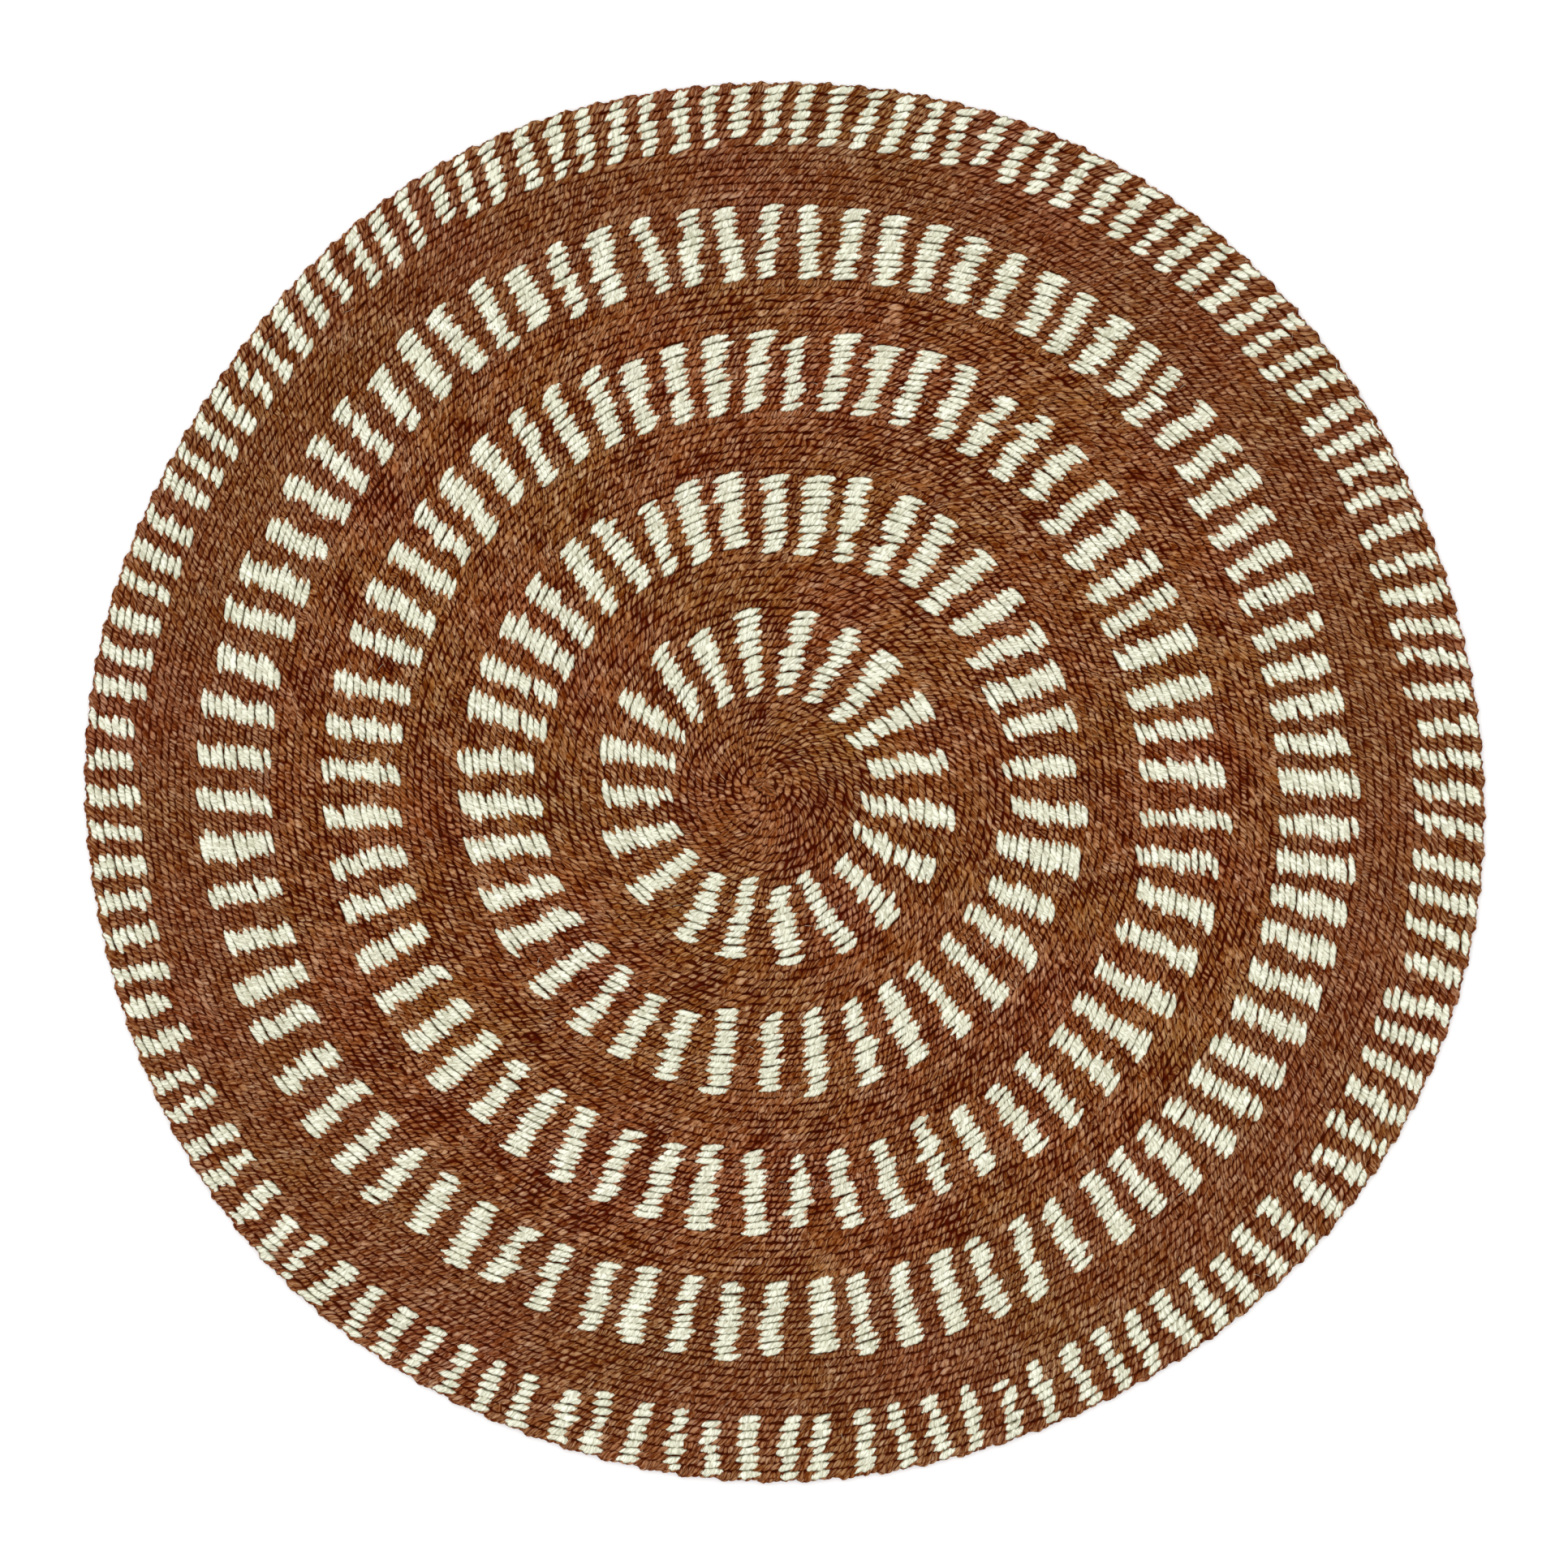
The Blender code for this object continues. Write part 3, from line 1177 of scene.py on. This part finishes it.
@dataclass
class Underside:
    """The side on the floor: where one weft shows above, the other shows here."""

    plan: RugPlan
    wefts: list[Weft]
    chance: Chance
    run_plies: int = 26
    overlap: float = 0.0020
    widest_float: float = 0.95      # share of the bars' spacing that a cream one may fill
    widest_run: float = 1.0         # the most that a stretch goes around, in radians

    def weave(self, inner: list[Material], outer: list[Material]) -> list[Piece]:
        """Weave the underside.

        Args:
            inner: a material for each Dye, in the inner zones.
            outer: the same in the outer zones.

        Returns:
            The inner zones' yarn and the outer zones' yarn.
        """
        made = []
        for name, wefts, finishes in (
            ("inner", self.wefts[:OUTER_ZONE], inner), ("outer", self.wefts[OUTER_ZONE:], outer)
        ):
            work = YarnWork(self.plan, self.chance, Side.UNDER, UNDER_PLY)
            for weft in wefts:
                self._zone(work, weft)
            made.append(work.build(f"underside_{name}_yarn", finishes))
        return made

    def _zone(self, work: YarnWork, weft: Weft) -> None:
        """Lay one zone of the underside.

        Args:
            work: the yarn being gathered.
            weft: the zone's upper side.
        """
        before, stop = weft.span
        if weft.zone.bars is None:
            work.run(before, stop, UNDER_STRAND, self.run_plies, self.widest_run, 0.0)
            return
        widest = self.widest_float * TURN / weft.zone.bars.count
        for start, end in weft.cream_floats():
            lap = self.overlap / self.plan.arm(start) / 2
            if start - before > widest:
                work.lay(before, start, UNDER_STRAND, Dye.RUST)
            elif start - before > 2 * lap:
                work.lay(before - lap, start + lap, UNDER_FLOAT, Dye.CREAM)
            work.lay(start - lap, end + lap, UNDER_FLOAT, Dye.RUST)
            before = end
        if stop > before:
            work.lay(before, stop, UNDER_STRAND, Dye.RUST)


@dataclass
class Core:
    """The warps and the hidden halves of the weft, a thin disc between the two sides."""

    plan: RugPlan
    top: float = 0.0048
    bottom: float = 0.0030
    inset: float = 0.0030
    spokes: int = 242
    rings: tuple[float, ...] = (0.06, 0.25, 0.5, 0.75, 0.97, 1.0)
    margin: float = 0.01            # left free around the bake map
    bake_face: float = 0.47         # of its height, for each of the two faces

    def build(self, finish: Material) -> Piece:
        """Build the disc.

        Args:
            finish: its material.

        Returns:
            The disc as one closed mesh.
        """
        angle = TURN * np.arange(self.spokes + 1) / self.spokes
        rounds = self.plan.rounds_at(angle)
        rim = self.plan.place(rounds, angle, self.inset)
        shares = [*self.rings, *self.rings[::-1]]
        heights = [self.top] * len(self.rings) + [self.bottom] * len(self.rings)
        count = len(shares)
        rows = [
            np.concatenate((rim * share, np.full((len(rim), 1), height)), 1)
            for share, height in zip(shares, heights)
        ]
        places = np.stack(rows, 1)[:-1].reshape(-1, 3)
        picked = grid_faces(self.spokes + 1, count)
        faces = (picked[..., 0] % self.spokes) * count + picked[..., 1]
        flat = self.margin + self.bake_face * np.array(self.rings)
        out = np.concatenate((flat, 1 - self.margin - flat[::-1]))
        around = self.margin + (1 - 2 * self.margin) * picked[..., 0] / self.spokes
        bake = np.stack((around, out[picked[..., 1]]), -1)
        work = Patchwork()
        work.add(places, faces, bake.copy(), bake, Dye.RUST)
        made = work.build("core", [finish, finish])
        self._close(made)
        return made

    def _close(self, made: Piece) -> None:
        """Close the small holes in the middle, above and below.

        Args:
            made: the disc.
        """
        build = bmesh.new()
        build.from_mesh(made.data)
        open_edges = [edge for edge in build.edges if edge.is_boundary]
        bmesh.ops.holes_fill(build, edges=open_edges, sides=0)
        bmesh.ops.recalc_face_normals(build, faces=build.faces)
        build.to_mesh(made.data)
        build.free()


@dataclass
class Cord:
    """A two-ply cord that closes on itself, lying flat."""

    radius: float                   # of the cord, sideways
    depth: float                    # of the cord, up and down
    height: float                   # of its middle
    ply: float
    sides: int = 8
    crease: float = 0.26            # how much thinner it is between two plies
    per_ply: int = 3                # points along a ply turn
    twist: int = 6                  # points along that a crease slips once around the cord
    ahead: float = 0.2              # of a point, to see which way the cord goes
    strip_gap: float = 0.04         # of a strip, left free on each side in the bake map
    end_gap: float = 0.005          # and at each end of it

    def add(
        self, work: Patchwork, path: Any, length: float, first_ply: int, low: float, high: float
    ) -> None:
        """Add the cord to a mesh.

        Args:
            work: the mesh being gathered.
            path: gives X and Y at each share, from 0 to 1, of the way around.
            length: the length of the way around.
            first_ply: number of its first ply turn.
            low: where its strip starts in the bake map, upward.
            high: where its strip stops.
        """
        plies = max(4, round(length / self.ply))
        points = self.per_ply * plies
        step = np.arange(points)[:, None] + self.twist * np.arange(self.sides) / self.sides
        share = step / points
        middle = path(share)
        ahead = path(share + self.ahead / points) - middle
        ahead = ahead / np.linalg.norm(ahead, axis=-1, keepdims=True)
        outward = np.stack((ahead[..., 1], -ahead[..., 0]), -1)
        thick = np.where(np.arange(points) % self.per_ply, 1.0, 1 - self.crease)[:, None]
        around = TURN * np.arange(self.sides) / self.sides
        plan = middle + outward * (self.radius * thick * np.cos(around))[..., None]
        height = self.height + self.depth * thick * np.sin(around)
        places = np.concatenate((plan, height[..., None]), -1).reshape(-1, 3)
        picked = grid_faces(points + 1, self.sides + 1)[:, ::-1]
        wrapped = picked[..., 1] == self.sides
        row = (picked[..., 0] + self.twist * wrapped) % points
        faces = row * self.sides + picked[..., 1] % self.sides
        mark = first_ply + picked[..., 0] / self.per_ply
        # Only the middle half of the yarn's width, away from the painted shade along its sides
        yarn = np.stack((mark, 0.25 + 0.5 * picked[..., 1] / self.sides), -1)
        bake = self._bake(picked, points, low, high)
        work.add(places, faces, yarn, bake, Dye.RUST)

    def _bake(self, picked: Array, points: int, low: float, high: float) -> Array:
        """Lay out the bake map: the cord unrolled, in strips one above another.

        Args:
            picked: the point and the side of each corner of each face.
            points: points along the cord.
            low: where the strips start, upward.
            high: where they stop.

        Returns:
            The map at each corner.
        """
        strips = max(1, round(math.sqrt(points / self.per_ply / self.sides) * (high - low)))
        per_strip = math.ceil(points / strips)
        strip = picked[:, :, 0].min(1, keepdims=True) // per_strip
        x = (picked[..., 0] - strip * per_strip) / per_strip
        tall = (high - low) / strips
        part = self.strip_gap + (1 - 2 * self.strip_gap) * picked[..., 1] / self.sides
        y = low + tall * (strip + part)
        return np.stack((self.end_gap + (1 - 2 * self.end_gap) * x, y), -1)


@dataclass
class Edge:
    """The edge of the rug: the last strands turn down over it, and look like a cord."""

    plan: RugPlan
    cord: Cord = field(
        default_factory=lambda: Cord(radius=0.0026, depth=0.0030, height=0.0037, ply=0.0052)
    )
    points: int = 4840

    def build(self, finishes: list[Material]) -> Piece:
        """Build the edge.

        Args:
            finishes: a material for each Dye.

        Returns:
            The edge as one object.
        """
        angle = TURN * np.arange(self.points + 1) / self.points
        rim = self.plan.place(self.plan.rounds_at(angle), angle, self.cord.radius)
        steps = np.linalg.norm(np.diff(rim, axis=0), axis=1)

        def path(share: Array) -> Array:
            """Return places along the rim."""
            at, known = share % 1 * self.points, np.arange(len(rim))
            return np.stack([np.interp(at, known, along) for along in rim.T], -1)

        work = Patchwork()
        self.cord.add(work, path, float(steps.sum()), EDGE_PLY, 0.0, 1.0)
        return work.build("edge_yarn", finishes)


@dataclass
class Start:
    """The start of the spiral: the first strands knotted over each other."""

    plan: RugPlan
    loops: tuple[tuple[float, float, float, float, float, float], ...] = (
        (0.0005, -0.0005, 0.0036, 0.0030, 0.0, 0.0058),
        (-0.0008, 0.0014, 0.0050, 0.0014, 6.0, 0.0078),
        (0.0042, -0.0034, 0.0052, 0.0015, -44.0, 0.0076),
    )                               # X, Y, half length, half width, degrees turned, height
    radius: float = 0.0015          # of the yarn, sideways
    depth: float = 0.0016           # and up and down
    ply: float = 0.0034

    def build(self, finishes: list[Material]) -> Piece:
        """Build the knot.

        Args:
            finishes: a material for each Dye.

        Returns:
            The knot as one object.
        """
        middle = self.plan.place(np.zeros(1), np.zeros(1))[0]
        work = Patchwork()
        for number, (x, y, long, wide, turned, height) in enumerate(self.loops):
            centre = middle + np.array((x, y))
            ahead = np.array((math.cos(math.radians(turned)), math.sin(math.radians(turned))))
            aside = np.array((-ahead[1], ahead[0]))

            def path(share: Array) -> Array:
                """Return places around the loop."""
                turn = TURN * share[..., None]
                return centre + long * np.cos(turn) * ahead + wide * np.sin(turn) * aside

            cord = Cord(self.radius, self.depth, height, self.ply)
            low, high = number / len(self.loops), (number + 1) / len(self.loops)
            length = math.pi * (long + wide)
            cord.add(work, path, length, KNOT_PLY + LOOP_PLIES * number, low, high)
        return work.build("start_knot_yarn", finishes)


@dataclass
class LooseHairs:
    """Fibres that stand off the yarn, as they do on all hand-spun jute."""

    plan: RugPlan
    wefts: list[Weft]
    chance: Chance
    count: int = 420
    steps: int = 6
    thickness: float = 0.00010
    shortest: float = 0.003
    longest: float = 0.009
    lift: float = 0.0012
    base: float = 0.0078
    in_cream: float = 0.6           # share of a patterned band's hairs that are cream
    astray: float = 0.7             # radians that a hair lies off the yarn's way
    bend: float = 0.10              # how far it bends sideways, as a share of its length
    taper: float = 0.7              # how much thinner its end is
    sides: int = 3
    room: float = 0.8               # share of its square that a hair takes in the bake map

    @property
    def shares(self) -> Array:
        """Return each zone's share of the rug."""
        edges = np.array([0.0] + [weft.zone.outer_radius for weft in self.wefts]) ** 2
        return np.diff(edges) / edges[-1]

    def build(self, finishes: list[Material]) -> Piece:
        """Scatter the hairs.

        Args:
            finishes: a material for each Dye.

        Returns:
            The hairs as one object.
        """
        work = Patchwork()
        across = math.ceil(math.sqrt(self.count))
        for number in range(self.count):
            weft = self.wefts[self.chance.choice(len(self.wefts), p=self.shares)]
            dye = Dye.CREAM if weft.zone.bars and self.chance.random() < self.in_cream else Dye.RUST
            rounds = self.chance.uniform(*weft.span) / TURN
            angle = self.chance.uniform(0, TURN)
            middle = self.plan.place(np.array(rounds), np.array(angle))
            length = self.chance.uniform(self.shortest, self.longest)
            way = angle + math.pi / 2 + self.chance.normal(0, self.astray)
            self._hair(work, number, across, middle, length, way, dye)
        return work.build("loose_hairs", finishes)

    def _hair(
        self, work: Patchwork, number: int, across: int, middle: Array, length: float,
        way: float, dye: Dye,
    ) -> None:
        """Add one hair: a thin tube of few sides, bent sideways and up.

        Args:
            work: the mesh being gathered.
            number: the hair's number.
            across: hairs side by side in the bake map.
            middle: X and Y of its middle.
            length: its length.
            way: its direction, in radians.
            dye: its colour.
        """
        share = np.linspace(0, 1, self.steps + 1)
        bend = self.chance.normal(0, self.bend) * length
        lift = abs(self.chance.normal(0, self.lift))
        ahead = np.array((math.cos(way), math.sin(way)))
        aside = np.array((-ahead[1], ahead[0]))
        arc = 4 * share * (1 - share)
        plan = middle + np.outer((share - 0.5) * length, ahead) + np.outer(arc * bend, aside)
        height = self.base + lift * share ** 1.5
        thick = self.thickness * (1 - self.taper * share)
        rings = [
            np.column_stack(
                (plan + np.outer(thick * math.cos(at), aside), height + thick * math.sin(at))
            )
            for at in TURN * np.arange(self.sides) / self.sides
        ]
        places = np.stack(rings, 1).reshape(-1, 3)
        picked = grid_faces(self.steps + 1, self.sides + 1)
        faces = picked[..., 0] * self.sides + picked[..., 1] % self.sides
        corner = np.array((number % across, number // across)) + (1 - self.room) / 2
        inside = picked / (self.steps, self.sides)
        bake = (corner + self.room * inside) / across
        # In the middle of a ply turn and of the yarn's width, where no painted crease shade comes
        yarn = (HAIR_PLY + number + 0.3, 0.4) + inside * (0.4, 0.2)
        work.add(places, faces, yarn, bake, dye)


@dataclass
class Studio:
    """The pale floor, the soft light and the camera straight above."""

    view_width: float = 1.0086      # metres across the photograph at the rug
    camera_height: float = 2.6
    sensor: float = 36.0
    middle: tuple[float, float] = (-0.0004, -0.0012)
    floor_half: float = 30.0
    sun_strength: float = 1.9
    sky_strength: float = 0.70
    sun_width: float = 80.0         # degrees across the sky
    sun_place: tuple[float, float, float] = (-0.10, 0.14, 1.0)
    floor_grid: int = 4

    def build(self, floor_finish: Material) -> None:
        """Build the studio.

        Args:
            floor_finish: the floor's material.
        """
        self._floor(floor_finish)
        self._light()
        self._camera()
        bpy.context.scene.view_settings.view_transform = "Standard"

    def _floor(self, finish: Material) -> None:
        """Lay the floor just under the rug.

        Args:
            finish: its material.
        """
        grid = self.floor_grid
        ticks = np.linspace(-self.floor_half, self.floor_half, grid + 1)
        vertices = [(x, y, 0.0) for y in ticks for x in ticks]
        row = grid + 1
        faces = [
            (row * j + i, row * j + i + 1, row * (j + 1) + i + 1, row * (j + 1) + i)
            for j in range(grid) for i in range(grid)
        ]
        mesh = bpy.data.meshes.new("floor")
        mesh.from_pydata(vertices, [], faces)
        mesh.materials.append(finish)
        floor = bpy.data.objects.new("floor", mesh)
        bpy.context.scene.collection.objects.link(floor)
        floor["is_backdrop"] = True

    def _light(self) -> None:
        """Set a wide soft light from above and an even white sky."""
        sun = bpy.data.lights.new("soft_light", "SUN")
        sun.energy = self.sun_strength
        sun.angle = math.radians(self.sun_width)
        lamp = bpy.data.objects.new("soft_light", sun)
        lamp.rotation_euler = Vector(self.sun_place).to_track_quat("Z", "Y").to_euler()
        bpy.context.scene.collection.objects.link(lamp)
        world = bpy.data.worlds.new("studio_sky")
        world.use_nodes = True
        sky = world.node_tree.nodes["Background"]
        sky.inputs["Color"].default_value = linear("ffffff")
        sky.inputs["Strength"].default_value = self.sky_strength
        bpy.context.scene.world = world

    def _camera(self) -> None:
        """Hang the camera over the rug, looking straight down."""
        data = bpy.data.cameras.new("camera")
        data.sensor_width = self.sensor
        data.lens = self.sensor * self.camera_height / self.view_width
        camera = bpy.data.objects.new("camera", data)
        camera.location = (*self.middle, self.camera_height)
        bpy.context.scene.collection.objects.link(camera)
        bpy.context.scene.camera = camera


def report(piece: Piece) -> int:
    """Log a piece and how many triangles it has, and return them.

    Args:
        piece: the piece.

    Returns:
        Its triangles.
    """
    triangles = sum(len(face.vertices) - 2 for face in piece.data.polygons)
    LOG.info("%s: %d triangles", piece.name, triangles)
    return triangles


def main() -> None:
    """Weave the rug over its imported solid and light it."""
    logging.basicConfig(level=logging.INFO, format="%(message)s", force=True)
    plan = RugPlan()
    inner = [RUST_JUTE.make(), CREAM_JUTE.make()]
    outer = [SOFT_RUST_JUTE.make(), inner[Dye.CREAM.value]]
    wefts = [
        Weft(plan, number, np.random.default_rng(SEED + number))
        for number in range(len(plan.zones))
    ]
    core = Core(plan).build(PACKED_WARP_IN_PAINTED_SHADE.make())
    yarn = [weft.weave(inner) for weft in wefts[:OUTER_ZONE]]
    yarn += [weft.weave(outer) for weft in wefts[OUTER_ZONE:]]
    yarn += Underside(plan, wefts, np.random.default_rng(UNDERSIDE_SEED)).weave(inner, outer)
    yarn.append(Edge(plan).build(outer))
    yarn.append(Start(plan).build(inner))
    yarn.append(LooseHairs(plan, wefts, np.random.default_rng(HAIR_SEED)).build(inner))
    for piece in [core, *yarn]:
        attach(piece, BODY)
        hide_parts(CAD_NODE)
    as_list(yarn)
    LOG.info("all: %d triangles", sum(report(piece) for piece in [core, *yarn]))
    Studio().build(PALE_FLOOR.make())
    boxes = [[list(corner) for corner in box] for box in (CAD_BOX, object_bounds())]


if __name__ == "__main__":
    main()
